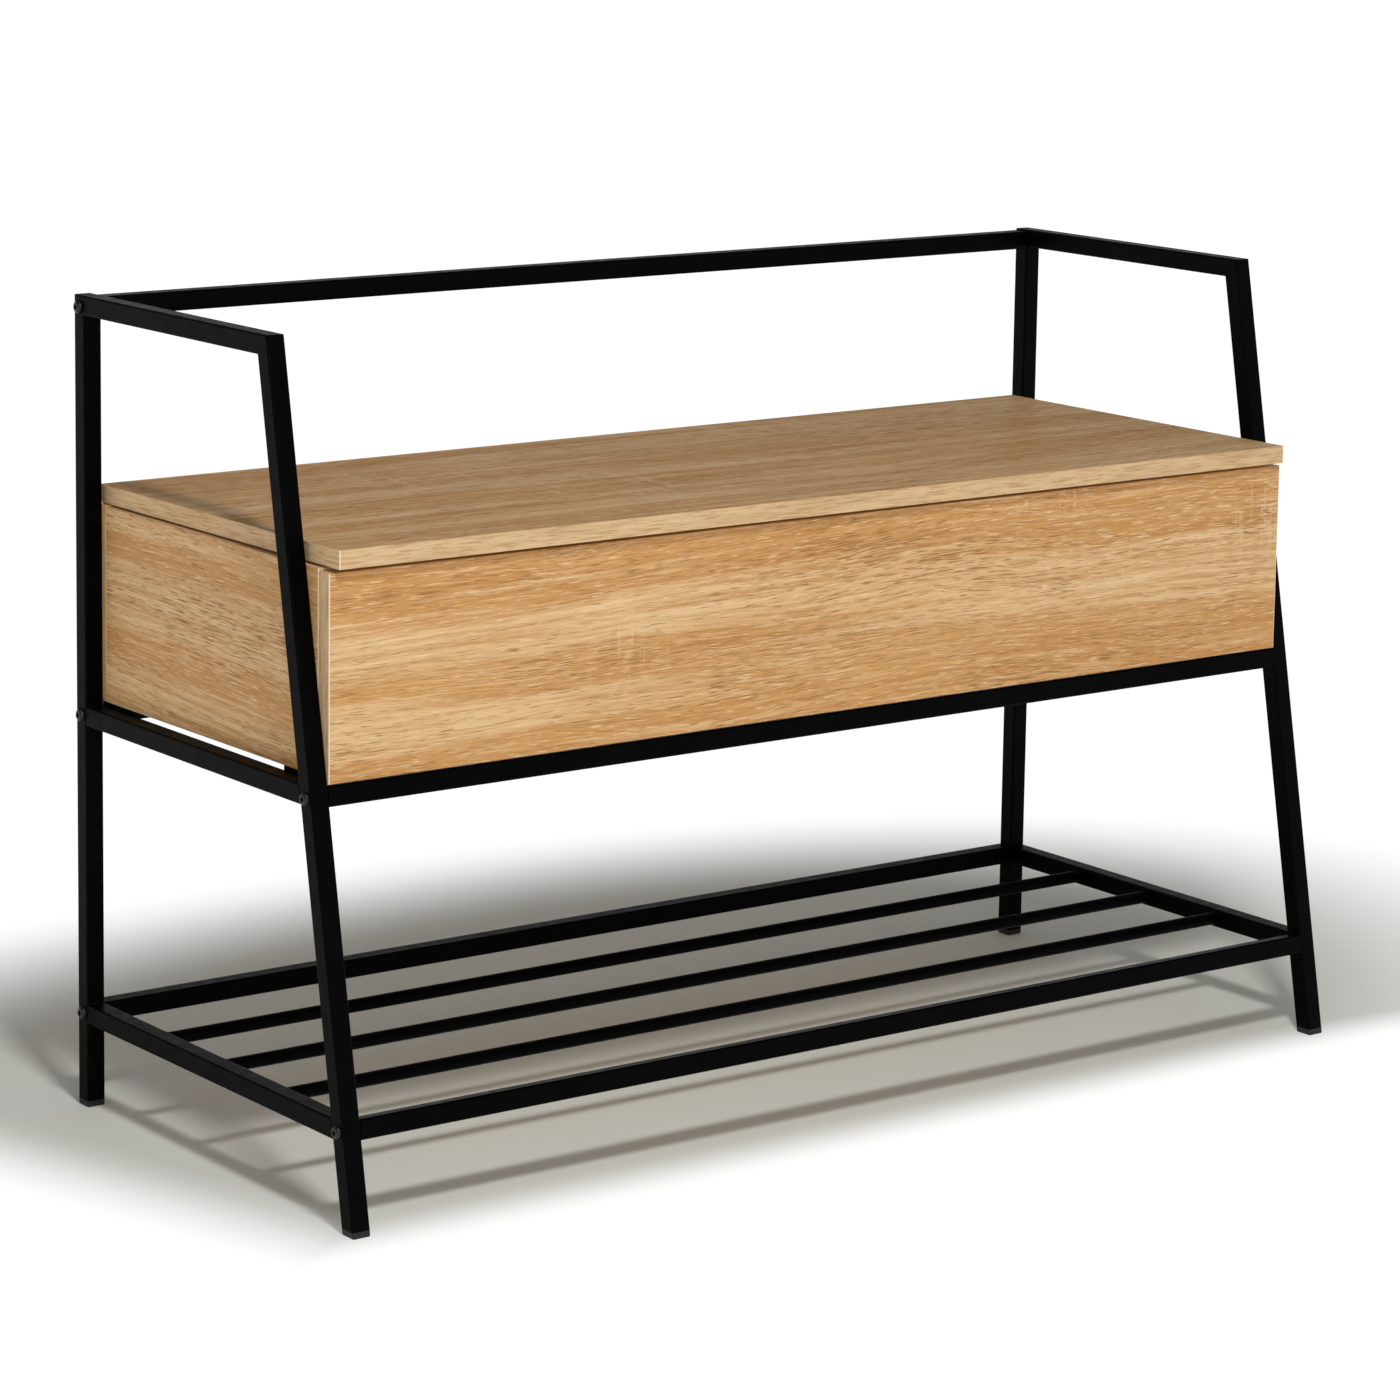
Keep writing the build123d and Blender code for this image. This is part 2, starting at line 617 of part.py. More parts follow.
def wood_screws(length, face, points):
    """Countersunk wood screws with their heads flush in the face, pointing against its normal."""
    shank_r = HINGE_SCREW_R - SCREW_FIT
    with BuildPart() as screw:
        with BuildSketch(Plane.XZ):
            with BuildLine():
                Polyline(
                    (0, 0),
                    (SCREW_HEAD_R, 0),
                    (shank_r, shank_r - SCREW_HEAD_R),
                    (shank_r, 2 * shank_r - length),
                    (0, -length),
                    close=True,
                )
            make_face()
        revolve(axis=Axis.Z)
        with BuildSketch(Plane.XY):
            Rectangle(3, 0.6)
            Rectangle(0.6, 3)
        extrude(amount=-0.6, mode=Mode.SUBTRACT)
    with BuildPart() as screws:
        with Locations(face.location):
            with Locations(*points):
                add(screw.part)
    return screws.part


LID_SCREWS_FROM_BELOW = [(x, -y) for x, y in LID_HINGE_SCREWS]

hinge_box_leaves = hinge_leaf(HINGE_SEAT, (-2, 0, 2), DOWN_FROM_AXIS, BOX_HINGE_SCREWS)
export(hinge_box_leaves, "hinge_box_leaves")

hinge_lid_leaves = hinge_leaf(HINGE_Z, (-1, 1), UP_FROM_AXIS, LID_SCREWS_FROM_BELOW)
export(hinge_lid_leaves, "hinge_lid_leaves")

hinge_box_screws = wood_screws(BOX_SCREW_LENGTH, DOWN_FROM_AXIS, BOX_HINGE_SCREWS)
export(hinge_box_screws, "hinge_box_screws")

hinge_lid_screws = wood_screws(LID_SCREW_LENGTH, UP_FROM_AXIS, LID_SCREWS_FROM_BELOW)
export(hinge_lid_screws, "hinge_lid_screws")

# Pins with a low head against each outer knuckle
PIN_HALF = (HINGE_LENGTH - KNUCKLE_GAP) / 2

with BuildPart() as hinge_pins:
    for centre in HINGE_CENTRES:
        with BuildSketch(Plane.YZ.offset(centre)):
            with Locations((HINGE_Y, HINGE_Z)):
                Circle(PIN_R)
        extrude(amount=PIN_HALF, both=True)
        for side, side_name in SIDES:
            with BuildSketch(Plane.YZ.offset(centre + side * PIN_HALF)):
                with Locations((HINGE_Y, HINGE_Z)):
                    Circle(PIN_HEAD_R)
            extrude(amount=side * PIN_HEAD_HEIGHT)
export(hinge_pins.part, "hinge_pins")
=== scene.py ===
"""Entryway bench: black steel tube frame, oak-print storage box and a lift-up seat."""
import math

import bpy
import numpy as np
from mathutils import Matrix, Vector


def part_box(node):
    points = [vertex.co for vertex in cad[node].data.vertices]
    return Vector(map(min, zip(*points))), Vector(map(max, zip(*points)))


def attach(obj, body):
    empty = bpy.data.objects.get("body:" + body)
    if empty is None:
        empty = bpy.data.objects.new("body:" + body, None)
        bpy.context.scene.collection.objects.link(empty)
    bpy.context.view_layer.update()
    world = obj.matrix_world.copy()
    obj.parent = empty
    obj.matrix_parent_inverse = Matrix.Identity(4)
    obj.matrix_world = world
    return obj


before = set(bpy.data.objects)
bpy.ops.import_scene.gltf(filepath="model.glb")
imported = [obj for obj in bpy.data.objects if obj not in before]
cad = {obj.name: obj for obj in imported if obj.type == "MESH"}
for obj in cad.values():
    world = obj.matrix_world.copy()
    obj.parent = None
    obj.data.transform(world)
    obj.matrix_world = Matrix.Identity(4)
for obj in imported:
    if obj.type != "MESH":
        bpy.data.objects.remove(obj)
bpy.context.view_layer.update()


# ---------------------------------------------------------------- studio
# The bench stands on a pale floor whose outer part glows white all round and washes out any shadow there. It
# is lit by a small softbox high on the front left and a large weak one lower down. The camera looks from the
# front left with a long lens.
def new_material(name, **shader_values):
    """A node material and its Principled shader, with constants set on the shader's sockets."""
    material = bpy.data.materials.new(name)
    material.use_nodes = True
    shader = material.node_tree.nodes["Principled BSDF"]
    for socket, value in shader_values.items():
        shader.inputs[socket.replace("_", " ")].default_value = value
    return material, material.node_tree, shader


def node(tree, kind, sockets=None, **settings):
    """One shader node: settings are its properties, sockets its inputs' values or links."""
    made = tree.nodes.new(kind)
    for name, value in settings.items():
        setattr(made, name, value)
    for name, value in (sockets or {}).items():
        if isinstance(value, bpy.types.NodeSocket):
            tree.links.new(value, made.inputs[name])
        else:
            made.inputs[name].default_value = value
    return made


def maths(tree, operation, *values):
    """Output of a Math node with these values or sockets as its operands."""
    return node(tree, "ShaderNodeMath", dict(enumerate(values)), operation=operation).outputs[0]


def smooth(tree, value, low, high, to_low=0.0, to_high=1.0):
    """The value taken smoothly from the range low..high to to_low..to_high."""
    sockets = {"Value": value, "From Min": low, "From Max": high, "To Min": to_low, "To Max": to_high}
    return node(tree, "ShaderNodeMapRange", sockets, interpolation_type="SMOOTHSTEP").outputs[0]


def place(tree):
    """The point's own X, Y and Z on its piece, in metres."""
    coordinates = node(tree, "ShaderNodeTexCoord").outputs["Object"]
    return coordinates, node(tree, "ShaderNodeSeparateXYZ", {0: coordinates}).outputs


floor_mesh = bpy.data.meshes.new("floor")
reach = 40.0  # half the side of the floor
floor_mesh.from_pydata(
    [(-reach, -reach, 0), (reach, -reach, 0), (reach, reach, 0), (-reach, reach, 0)], [], [(0, 1, 2, 3)]
)
floor = bpy.data.objects.new("floor", floor_mesh)
bpy.context.collection.objects.link(floor)

floor_paint, tree, shader = new_material("pale_floor", Roughness=0.7, Specular_IOR_Level=0.15)
point, (x, y, z) = place(tree)
# The pale patch is an oval that takes in the shadow, cut short in front and on the left; beyond it the floor
# glows white, a glow that hides shadow there
to_right, to_back = maths(tree, "SUBTRACT", x, 0.12), maths(tree, "SUBTRACT", y, 0.17)
oval_x = maths(tree, "MAXIMUM", maths(tree, "DIVIDE", to_right, 0.80), maths(tree, "DIVIDE", to_right, -1.2))
oval_y = maths(tree, "MAXIMUM", maths(tree, "DIVIDE", to_back, 0.51), maths(tree, "DIVIDE", to_back, -0.66))
squares = maths(
    tree, "ADD", maths(tree, "MULTIPLY", oval_x, oval_x), maths(tree, "MULTIPLY", oval_y, oval_y)
)
beyond_oval = smooth(tree, maths(tree, "SQRT", squares), 0.62, 1.22)
in_front = smooth(tree, y, -0.16, -0.25)
on_left = smooth(tree, maths(tree, "ADD", x, maths(tree, "MULTIPLY", y, 0.3)), -0.50, -0.66)
margin_glow = maths(tree, "MAXIMUM", beyond_oval, maths(tree, "MAXIMUM", in_front, on_left))
floor_grey, faded = (0.91, 0.93, 0.865, 1), (0.02, 0.02, 0.02, 1)
floor_tone = node(tree, "ShaderNodeMix", {0: margin_glow, 6: floor_grey, 7: faded}, data_type="RGBA")
tree.links.new(floor_tone.outputs[2], shader.inputs["Base Color"])
# Emission: the floor glows white outside the patch, and its own colour drops to near black there
tree.links.new(margin_glow, shader.inputs["Emission Strength"])
shader.inputs["Emission Color"].default_value = (1, 1, 1, 1)
floor_mesh.materials.append(floor_paint)

# Walls of light: white at the horizon, grey overhead
world = bpy.data.worlds.new("studio")
bpy.context.scene.world = world
world.use_nodes = True
tree = world.node_tree
direction = node(tree, "ShaderNodeTexCoord").outputs["Generated"]
sky_up = node(tree, "ShaderNodeSeparateXYZ", {0: direction}).outputs[2]
sky_strength = smooth(tree, sky_up, 0.02, 0.40, 1.0, 0.19)
tree.links.new(sky_strength, tree.nodes["Background"].inputs["Strength"])
tree.nodes["Background"].inputs["Color"].default_value = (1, 1, 1, 1)


def softbox(name, position, aim, width, height, power):
    """A rectangular area light at position, facing aim."""
    light = bpy.data.lights.new(name, "AREA")
    light.shape = "RECTANGLE"
    light.size = width
    light.size_y = height
    light.energy = power
    lamp = bpy.data.objects.new(name, light)
    lamp.location = position
    lamp.rotation_euler = (Vector(aim) - Vector(position)).to_track_quat("-Z", "Y").to_euler()
    bpy.context.collection.objects.link(lamp)


softbox("high_softbox", (-0.85, -1.7, 2.5), (0, 0, 0.2), 0.35, 0.3, 33)
softbox("front_softbox", (-1.3, -3.0, 1.3), (0, 0, 0.4), 1.8, 1.2, 11)

lens_data = bpy.data.cameras.new("long_lens")
lens_data.lens = 118.1
lens_data.sensor_width = 36
lens_data.shift_x = 0.07
lens_data.shift_y = -0.18
camera = bpy.data.objects.new("camera", lens_data)
azimuth = 0.625095988
tilt_down = 0.155361304
roll = 0.012014354
camera.matrix_world = (
    Matrix.Translation((-2.277326, -2.974522, 1.113317))
    @ Matrix.Rotation(-azimuth, 4, "Z")
    @ Matrix.Rotation(math.pi / 2 - tilt_down, 4, "X")
    @ Matrix.Rotation(roll, 4, "Z")
)
bpy.context.collection.objects.link(camera)
bpy.context.scene.camera = camera
bpy.context.scene.view_settings.view_transform = "Standard"


# ---------------------------------------------------------------- end frames
# Each end is a frame of 16 mm square steel tube: an upright rear leg, a leaning front leg
# and an arm rail mitred between them, with two rails welded across lower down. The whole
# frame is blasted and powder coated satin black.
def noise(tree, vector, detail=2.0, roughness=0.5, scale=1.0):
    """Fractal noise, 0 to 1, with scale cells per unit of the vector."""
    sockets = {"Vector": vector, "Scale": scale, "Detail": detail, "Roughness": roughness}
    return node(tree, "ShaderNodeTexNoise", sockets, noise_dimensions="3D").outputs["Fac"]


def blend(tree, factor, first, second):
    """Two colours mixed by a factor."""
    sockets = {0: factor, 6: first, 7: second}
    return node(tree, "ShaderNodeMix", sockets, data_type="RGBA").outputs[2]


def bump(tree, shader, height, depth, strength=1.0):
    """Height of the surface, 0 to 1, as a relief of this depth in metres."""
    relief = node(tree, "ShaderNodeBump", {"Height": height, "Distance": depth, "Strength": strength})
    tree.links.new(relief.outputs[0], shader.inputs["Normal"])


def coat(name, dark, light, rough, peel_size, peel_depth, **shader_values):
    """Black coating: orange peel of the given size and depth, uneven sheen and fine dust."""
    material, tree, shader = new_material(name, **shader_values)
    point = place(tree)[0]
    cloud = noise(tree, point, 3.0, 0.6, 22.0)
    speck = noise(tree, point, 1.0, 0.5, 2600.0)
    dust = maths(tree, "MULTIPLY", smooth(tree, speck, 0.66, 0.8), smooth(tree, cloud, 0.4, 0.7))
    tone = blend(tree, smooth(tree, cloud, 0.3, 0.7), (*dark, 1), (*light, 1))
    tone = blend(tree, maths(tree, "MULTIPLY", dust, 0.2), tone, (0.03, 0.03, 0.03, 1))
    tree.links.new(tone, shader.inputs["Base Color"])
    sheen = noise(tree, point, 2.0, 0.5, 90.0)
    tree.links.new(smooth(tree, sheen, 0.2, 0.8, rough - 0.05, rough + 0.06), shader.inputs["Roughness"])
    peel = noise(tree, point, 2.0, 0.55, 1.0 / peel_size)
    bump(tree, shader, peel, peel_depth)
    return material


powder_coat = coat(
    "black_powder_coat",
    dark=(0.0005, 0.0004, 0.0004),
    light=(0.0011, 0.0009, 0.0009),
    rough=0.40,
    peel_size=0.0016,
    peel_depth=0.00006,
    Specular_IOR_Level=0.03,
)


def finish_with(material, *names):
    """Gives CAD nodes this material in place of the plain one they come with."""
    for name in names:
        slots = cad[name].data.materials
        slots.clear()
        slots.append(material)


end_frame = ["rear_leg", "front_leg", "arm_rail", "middle_rail", "low_rail"]
finish_with(powder_coat, *[f"{side}_{part}" for side in ("left", "right") for part in end_frame])


# ---------------------------------------------------------------- long tubes and shelf rods
# Five tubes join the two ends and are bolted up from the ends. Three round rods between
# the low rails make the shoe shelf. All have the same powder coat as the end frames.
finish_with(powder_coat, "rear_top_rail", "rear_middle_rail", "rear_low_rail")
finish_with(powder_coat, "front_middle_rail", "front_low_rail")
finish_with(powder_coat, "shelf_rod_front", "shelf_rod_middle", "shelf_rod_rear")


# ---------------------------------------------------------------- weld beads
# The side rails, arm rails and shelf rods are welded to the legs and rails. The flush faces
# are ground smooth before coating, and the small rippled beads stay in the inside corners.
BEAD_RADIUS = 0.0013
BEAD_LENGTH = 0.0135  # a little less than the tube's width
RIPPLE_PITCH = 0.0017
RIPPLE = 0.10  # of the bead's own radius


def bead_surface(path, sideways, upward, radii, closed):
    """A tube carried along a path of points, as arrays.

    Point (i, j) = path[i] + radii[i] * (cos(a) * sideways[i] + sin(a) * upward[i]), where a
    goes once round over j. Open tubes have radius 0 at both ends, closed ones join up.
    """
    around = np.linspace(0, 2 * np.pi, 14, endpoint=False)
    cosine, sine = np.cos(around)[None, :, None], np.sin(around)[None, :, None]
    ring = cosine * sideways[:, None, :] + sine * upward[:, None, :]
    points = path[:, None, :] + radii[:, None, None] * ring
    rows, columns = points.shape[:2]
    row = np.arange(rows if closed else rows - 1)
    i, j = np.meshgrid(row, np.arange(columns), indexing="ij")
    after, beside = (i + 1) % rows, (j + 1) % columns
    here, onward = i * columns, after * columns
    quads = np.stack([here + j, onward + j, onward + beside, here + beside], -1)
    return points.reshape(-1, 3), quads.reshape(-1, 4)


def straight_bead(centre, length):
    """Bead along X: radius r * (1 - t^8)^(1/2) * (1 + ripple), with t from -1 to 1."""
    t = np.linspace(-1, 1, 61)
    path = np.asarray(centre) + np.outer(t * length / 2, [1.0, 0, 0])
    ripple = 1 + RIPPLE * np.sin(2 * np.pi * t * length / 2 / RIPPLE_PITCH)
    radii = np.maximum(BEAD_RADIUS * np.sqrt(1 - t**8) * ripple, 0)
    side = np.tile([0, 1.0, 0], (len(t), 1))
    up = np.tile([0, 0, 1.0], (len(t), 1))
    return bead_surface(path, side, up, radii, closed=False)


def ring_bead(centre, ring_radius):
    """Bead round an X axis: a ring whose own radius ripples as it goes round."""
    turn = np.linspace(0, 2 * np.pi, 80, endpoint=False)
    outward = np.stack([0 * turn, np.cos(turn), np.sin(turn)], -1)
    path = np.asarray(centre) + ring_radius * outward
    ripples = round(2 * np.pi * ring_radius / RIPPLE_PITCH)
    radii = 0.8 * BEAD_RADIUS * (1 + RIPPLE * np.sin(ripples * turn))
    along_x = np.tile([1.0, 0, 0], (len(turn), 1))
    return bead_surface(path, outward, along_x, radii, closed=True)


def make_mesh(name, surfaces, material, body):
    """One piece from several closed surfaces of quads, smooth shaded, riding on a body."""
    points, quads, start = [], [], 0
    for surface_points, surface_quads in surfaces:
        points.append(surface_points)
        quads.append(surface_quads + start)
        start += len(surface_points)
    mesh = bpy.data.meshes.new(name)
    mesh.from_pydata(np.concatenate(points).tolist(), [], np.concatenate(quads).tolist())
    mesh.polygons.foreach_set("use_smooth", np.ones(len(mesh.polygons), dtype=bool))
    mesh.materials.append(material)
    piece = bpy.data.objects.new(name, mesh)
    bpy.context.collection.objects.link(piece)
    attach(piece, body)


frame_beads = []
for side in ("left", "right"):
    low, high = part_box(f"{side}_rear_leg")
    leg_x = (low[0] + high[0]) / 2
    leg_front = low[1]
    for rail in ("middle_rail", "low_rail"):
        low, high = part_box(f"{side}_{rail}")
        tube = high[2] - low[2]
        foot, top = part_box(f"{side}_front_leg")
        lean = (top[1] - foot[1] - tube) / (top[2] - foot[2])
        # The rail's front end is cut along the leg, so it starts further forward lower down
        front_ends = ((low[1], low[2]), (low[1] + tube * lean, high[2]))
        for y, z in front_ends + ((leg_front, low[2]), (leg_front, high[2])):
            frame_beads.append(straight_bead((leg_x, y, z), BEAD_LENGTH))
    arm_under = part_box(f"{side}_arm_rail")[0][2]
    frame_beads.append(straight_bead((leg_x, leg_front, arm_under), BEAD_LENGTH))
make_mesh("weld_beads", frame_beads, powder_coat, "frame and box")

rod_beads = []
for rod in ("shelf_rod_front", "shelf_rod_middle", "shelf_rod_rear"):
    low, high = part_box(rod)
    middle = (low + high) / 2
    rod_radius = (high[2] - low[2]) / 2
    for end_x in (low[0], high[0]):
        rod_beads.append(ring_bead((end_x, middle[1], middle[2]), rod_radius + 0.0002))
make_mesh("rod_weld_beads", rod_beads, powder_coat, "frame and box")


# ---------------------------------------------------------------- feet, nuts and bolts
# Moulded plastic caps close the leg ends. Nut blocks sit inside the rail ends, and black
# button-head bolts go through the legs into them.
cap_plastic = coat(
    "foot_cap_plastic",
    dark=(0.010, 0.010, 0.011),
    light=(0.016, 0.016, 0.017),
    rough=0.55,
    peel_size=0.0006,
    peel_depth=0.00005,
    Specular_IOR_Level=0.3,
)
for side in ("left", "right"):
    finish_with(cap_plastic, f"foot_cap_{side}_rear", f"foot_cap_{side}_front")

bolt_black = coat(
    "black_oxide",
    dark=(0.008, 0.008, 0.009),
    light=(0.018, 0.018, 0.019),
    rough=0.36,
    peel_size=0.0005,
    peel_depth=0.00001,
    Metallic=0.4,
)
finish_with(bolt_black, "frame_bolts")


def plated(name, dark, light, rough):
    """Plated metal: faint clouds in colour and sheen, and fine drawn scratches along X."""
    material, tree, shader = new_material(name, Metallic=1.0)
    point = place(tree)[0]
    cloud = noise(tree, point, 3.0, 0.6, 160.0)
    tree.links.new(blend(tree, cloud, (*dark, 1), (*light, 1)), shader.inputs["Base Color"])
    stretched = node(tree, "ShaderNodeMapping", {"Vector": point, "Scale": (150, 2500, 2500)}).outputs[0]
    scratch = noise(tree, stretched, 2.0, 0.6)
    tree.links.new(smooth(tree, scratch, 0.3, 0.8, rough - 0.07, rough + 0.12), shader.inputs["Roughness"])
    bump(tree, shader, scratch, 0.000006)
    return material


zinc = plated("zinc_plate", (0.50, 0.51, 0.53), (0.68, 0.69, 0.70), 0.32)
finish_with(zinc, "rail_end_nuts")


# ---------------------------------------------------------------- brackets under the box
# Four bent steel angles, coated with the frame, carry the box on the side rails. Two
# zinc-plated pan-head screws go up through each into the bottom panel.
finish_with(powder_coat, "box_brackets")
finish_with(zinc, "bracket_screws")


# ---------------------------------------------------------------- boards of the box
# Five 15 mm chipboard panels, faced with a printed oak foil: warm sand and amber bands that
# wander along the grain, short dark and pale pores, and faint saw marks across. The cut
# edges have a paler plastic edge band, trimmed to a thin light line at the vertical corners that is also a
# painted highlight.
def oak_print(name, node_name, along, across, seed, sand, amber, pore, band, corner_line_and_highlight, sheen, specular):
    """Oak foil on one board. along and across are the axes (0, 1 or 2) of the grain and of
    the board's width; the third axis is its thickness.

    v' = v + slow noise makes the grain wander; the bands are noise in (u, v'), the growth
    rings sin(2 pi v' / pitch), and the pores noise drawn out along the grain.
    """
    material, tree, shader = new_material(name, Specular_IOR_Level=specular)
    axes = place(tree)[1]
    through = 3 - along - across
    low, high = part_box(node_name)
    centre, half = (low + high) / 2, (high - low) / 2
    u, v, w = axes[along], axes[across], axes[through]

    def stretched(a, b, per_a, per_b, shift):
        """The plane (a, b) scaled to a and b cells per metre, at its own level of the noise."""
        sockets = {
            0: maths(tree, "MULTIPLY", a, per_a),
            1: maths(tree, "MULTIPLY", b, per_b),
            2: seed + shift,
        }
        return node(tree, "ShaderNodeCombineXYZ", sockets).outputs[0]

    wander = noise(tree, stretched(u, v, 1.2, 4.5, 0.0), 2.0, 0.45)
    drift = maths(tree, "MULTIPLY", maths(tree, "SUBTRACT", wander, 0.5), 0.08)
    flutter = noise(tree, stretched(u, v, 11.0, 60.0, 3.0), 2.0, 0.5)
    flutter = maths(tree, "MULTIPLY", maths(tree, "SUBTRACT", flutter, 0.5), 0.004)
    grain_v = maths(tree, "ADD", v, maths(tree, "ADD", drift, flutter))

    # Broad bands, amber streaks inside them and thin lines inside those
    deep = (amber[0] * 0.82, amber[1] * 0.72, amber[2] * 0.60, 1)
    pale = tuple(min(1.0, c * s) for c, s in zip(sand, (1.10, 1.17, 1.33))) + (1,)
    bands = noise(tree, stretched(u, grain_v, 0.9, 24.0, 5.0), 3.0, 0.5)
    warmth = noise(tree, stretched(u, grain_v, 2.4, 80.0, 9.0), 2.0, 0.5)
    streaks = noise(tree, stretched(u, grain_v, 5.0, 170.0, 7.0), 3.0, 0.6)
    lines = noise(tree, stretched(u, grain_v, 14.0, 480.0, 13.0), 2.0, 0.6)
    tone = blend(tree, smooth(tree, bands, 0.42, 0.56), (*sand, 1), (*amber, 1))
    tone = blend(tree, smooth(tree, warmth, 0.50, 0.68, 0.0, 0.45), tone, deep)
    tone = blend(tree, smooth(tree, streaks, 0.50, 0.72, 0.0, 0.6), tone, deep)
    tone = blend(tree, smooth(tree, streaks, 0.46, 0.26, 0.0, 0.7), tone, pale)
    tone = blend(tree, smooth(tree, lines, 0.50, 0.70, 0.0, 0.5), tone, deep)
    tone = blend(tree, smooth(tree, lines, 0.46, 0.28, 0.0, 0.45), tone, pale)

    # Growth rings show only in some places, dark on one side of each ring
    phase = maths(tree, "MULTIPLY", grain_v, 2 * math.pi / 0.0095)
    ring = smooth(tree, maths(tree, "SINE", phase), -0.2, 1.0)
    ring_zone = smooth(tree, noise(tree, stretched(u, v, 2.0, 8.0, 11.0), 2.0, 0.5), 0.47, 0.64)
    tone = blend(tree, maths(tree, "MULTIPLY", maths(tree, "MULTIPLY", ring, ring_zone), 0.5), tone, deep)

    # Fine fibres, pale flecks and dark pores, thicker in some zones than in others
    fibre = noise(tree, stretched(u, grain_v, 34.0, 1300.0, 17.0), 3.0, 0.65)
    tone = blend(tree, smooth(tree, fibre, 0.50, 0.74, 0.0, 0.65), tone, deep)
    tone = blend(tree, smooth(tree, fibre, 0.48, 0.26, 0.0, 0.55), tone, pale)
    zone = noise(tree, stretched(u, v, 4.5, 16.0, 29.0), 2.0, 0.5)
    fleck = noise(tree, stretched(u, grain_v, 60.0, 1050.0, 23.0), 1.0, 0.5)
    fleck = smooth(tree, maths(tree, "ADD", fleck, maths(tree, "MULTIPLY", zone, 0.2)), 0.68, 0.80)
    tone = blend(tree, maths(tree, "MULTIPLY", fleck, 0.8), tone, pale)
    busy = noise(tree, stretched(u, v, 5.0, 20.0, 37.0), 3.0, 0.55)
    vessel = noise(tree, stretched(u, grain_v, 52.0, 1200.0, 31.0), 1.5, 0.55)
    vessel = smooth(tree, maths(tree, "ADD", vessel, maths(tree, "MULTIPLY", busy, 0.36)), 0.765, 0.86)
    tone = blend(tree, maths(tree, "MULTIPLY", vessel, 0.85), tone, (*pore, 1))

    # Saw marks: faint pale stripes square to the grain, in one or two patches
    saw = smooth(tree, noise(tree, stretched(u, v, 170.0, 9.0, 41.0), 1.0, 0.5), 0.50, 0.68)
    saw_zone = smooth(tree, noise(tree, stretched(u, v, 4.5, 7.0, 43.0), 1.0, 0.5), 0.56, 0.72)
    broken = smooth(tree, noise(tree, stretched(u, v, 110.0, 420.0, 47.0), 2.0, 0.5), 0.40, 0.62)
    saw = maths(tree, "MULTIPLY", maths(tree, "MULTIPLY", saw, saw_zone), broken)
    tone = blend(tree, maths(tree, "MULTIPLY", saw, 0.6), tone, pale)

    # Edge band: its own fine print, run along the edge
    length = maths(tree, "ADD", u, v)
    streak = noise(tree, stretched(length, w, 42.0, 700.0, 53.0), 3.0, 0.65)
    patch = noise(tree, stretched(length, w, 9.0, 120.0, 59.0), 2.0, 0.5)
    band_dark = (band[0] * 0.70, band[1] * 0.62, band[2] * 0.52, 1)
    band_pale = tuple(min(1.0, c * s) for c, s in zip(band, (1.10, 1.14, 1.20))) + (1,)
    band_tone = blend(tree, smooth(tree, streak, 0.47, 0.66, 0.0, 0.9), (*band, 1), band_dark)
    band_tone = blend(tree, smooth(tree, streak, 0.48, 0.28, 0.0, 0.6), band_tone, band_pale)
    band_tone = blend(tree, smooth(tree, patch, 0.45, 0.70, 0.0, 0.35), band_tone, band_dark)

    def near_end(axis, margin):
        """1 where the point is within margin of the board's end along that axis."""
        distance = maths(tree, "ABSOLUTE", maths(tree, "SUBTRACT", axes[axis], centre[axis]))
        return maths(tree, "GREATER_THAN", distance, half[axis] - margin)

    tone = blend(tree, near_end(through, 0.00025), band_tone, tone)
    # Vertical corners: the edge band's pale trimmed line, lightened further as a painted highlight
    corner_highlight_mask = maths(tree, "MULTIPLY", near_end(0, 0.0009), near_end(1, 0.0009))
    tone = blend(tree, maths(tree, "MULTIPLY", corner_highlight_mask, 0.75), tone, (*corner_line_and_highlight, 1))
    tree.links.new(tone, shader.inputs["Base Color"])

    face_gloss = smooth(tree, fibre, 0.2, 0.8, sheen - 0.03, sheen + 0.04)
    gloss = maths(tree, "ADD", face_gloss, maths(tree, "MULTIPLY", vessel, 0.16))
    tree.links.new(gloss, shader.inputs["Roughness"])
    height = maths(tree, "SUBTRACT", maths(tree, "MULTIPLY", fibre, 0.35), vessel)
    bump(tree, shader, height, 0.00007, 0.8)
    return material


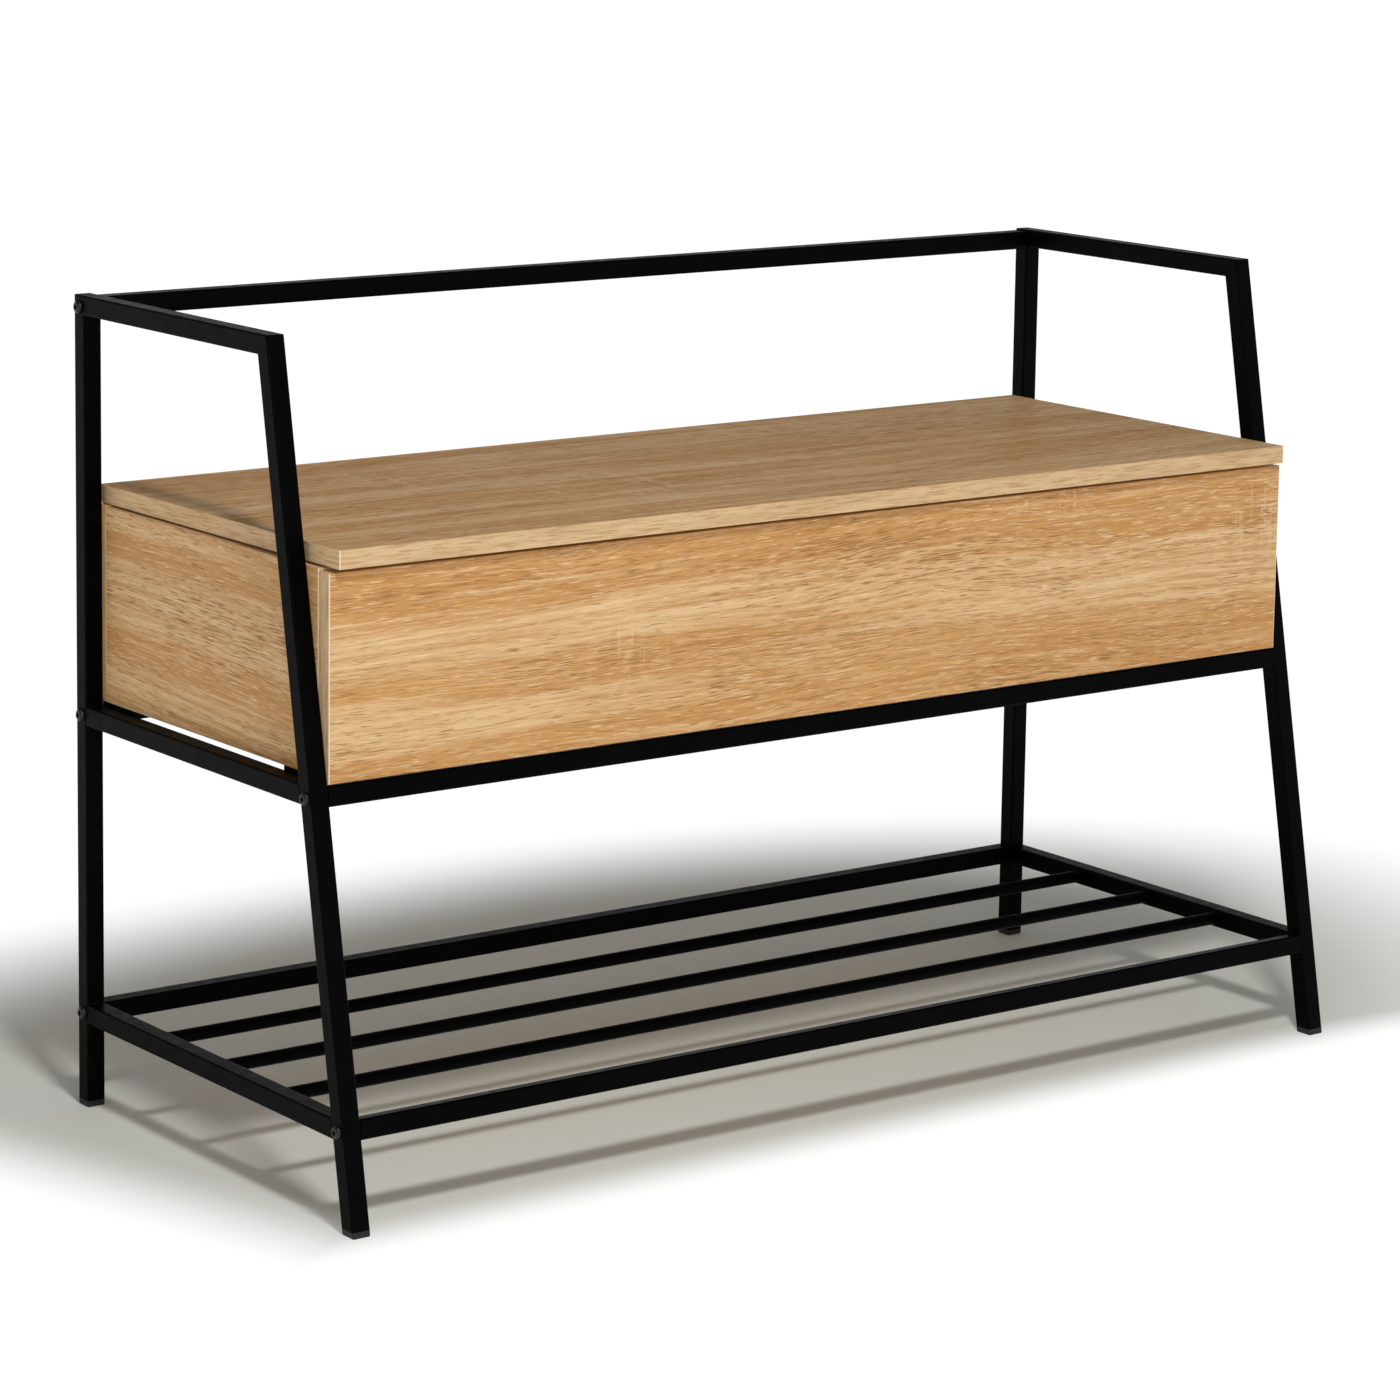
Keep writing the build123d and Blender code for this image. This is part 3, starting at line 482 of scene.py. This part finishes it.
oak = {
    "sand": (0.700, 0.460, 0.232),
    "amber": (0.565, 0.300, 0.106),
    "pore": (0.310, 0.150, 0.052),
    "band": (0.650, 0.445, 0.250),
    # colour of the vertical corner line: trimmed edge band plus painted highlight
    "corner_line_and_highlight": (0.86, 0.70, 0.50),
    "sheen": 0.46,
    "specular": 0.10,
}
finish_with(oak_print("oak_front_panel", "front_panel", 0, 2, 11.3, **oak), "front_panel")
# The back panel's ends get a darker band and no painted corner highlight
plain_ends = dict(oak, band=(0.60, 0.37, 0.165), corner_line_and_highlight=(0.60, 0.38, 0.18))
finish_with(oak_print("oak_back_panel", "back_panel", 0, 2, 27.9, **plain_ends), "back_panel")
for board, seed in {"left_side_panel": 41.2, "right_side_panel": 58.6}.items():
    finish_with(oak_print(f"oak_{board}", board, 1, 2, seed, **oak), board)
finish_with(oak_print("oak_bottom_panel", "bottom_panel", 0, 1, 73.4, **oak), "bottom_panel")


# ---------------------------------------------------------------- dowels and cam locks
# Fluted beech dowels and zinc cam locks hold the boards together. The cams are die-cast
# discs, flush in the inner faces of the side panels.
beech, tree, shader = new_material("beech_dowel", Roughness=0.7)
drawn_out = {"Vector": place(tree)[0], "Scale": (300, 300, 1500)}
beech_grain = noise(tree, node(tree, "ShaderNodeMapping", drawn_out).outputs[0], 3.0)
beech_tone = blend(tree, beech_grain, (0.50, 0.34, 0.19, 1), (0.68, 0.51, 0.32, 1))
tree.links.new(beech_tone, shader.inputs["Base Color"])
bump(tree, shader, beech_grain, 0.00005)
finish_with(beech, "panel_dowels")
finish_with(zinc, "cam_bolts")
die_cast = plated("die_cast_zinc", (0.38, 0.39, 0.40), (0.52, 0.53, 0.54), 0.48)
finish_with(die_cast, "cam_locks")


# ---------------------------------------------------------------- lid
# The seat is one 15 mm board like the others, with its own stretch of the oak print and a
# slightly smoother, satin face.
lid_oak = dict(oak, sheen=0.44, specular=0.015)
finish_with(oak_print("oak_lid", "lid", 0, 1, 90.7, **lid_oak), "lid")


# ---------------------------------------------------------------- rubber pads and hinges
# Four rubber pads on the side panels stop the lid knocking. Three black lacquered steel
# butt hinges join it to the back panel with countersunk screws.
rubber = coat(
    "pad_rubber",
    dark=(0.018, 0.018, 0.018),
    light=(0.028, 0.028, 0.028),
    rough=0.75,
    peel_size=0.0004,
    peel_depth=0.00004,
    Specular_IOR_Level=0.25,
)
finish_with(rubber, "lid_bumpers")

hinge_lacquer = coat(
    "hinge_lacquer",
    dark=(0.010, 0.010, 0.010),
    light=(0.016, 0.016, 0.016),
    rough=0.34,
    peel_size=0.0012,
    peel_depth=0.00002,
    Specular_IOR_Level=0.5,
)
finish_with(hinge_lacquer, "hinge_box_leaves", "hinge_lid_leaves", "hinge_pins")
finish_with(hinge_lacquer, "hinge_box_screws", "hinge_lid_screws")
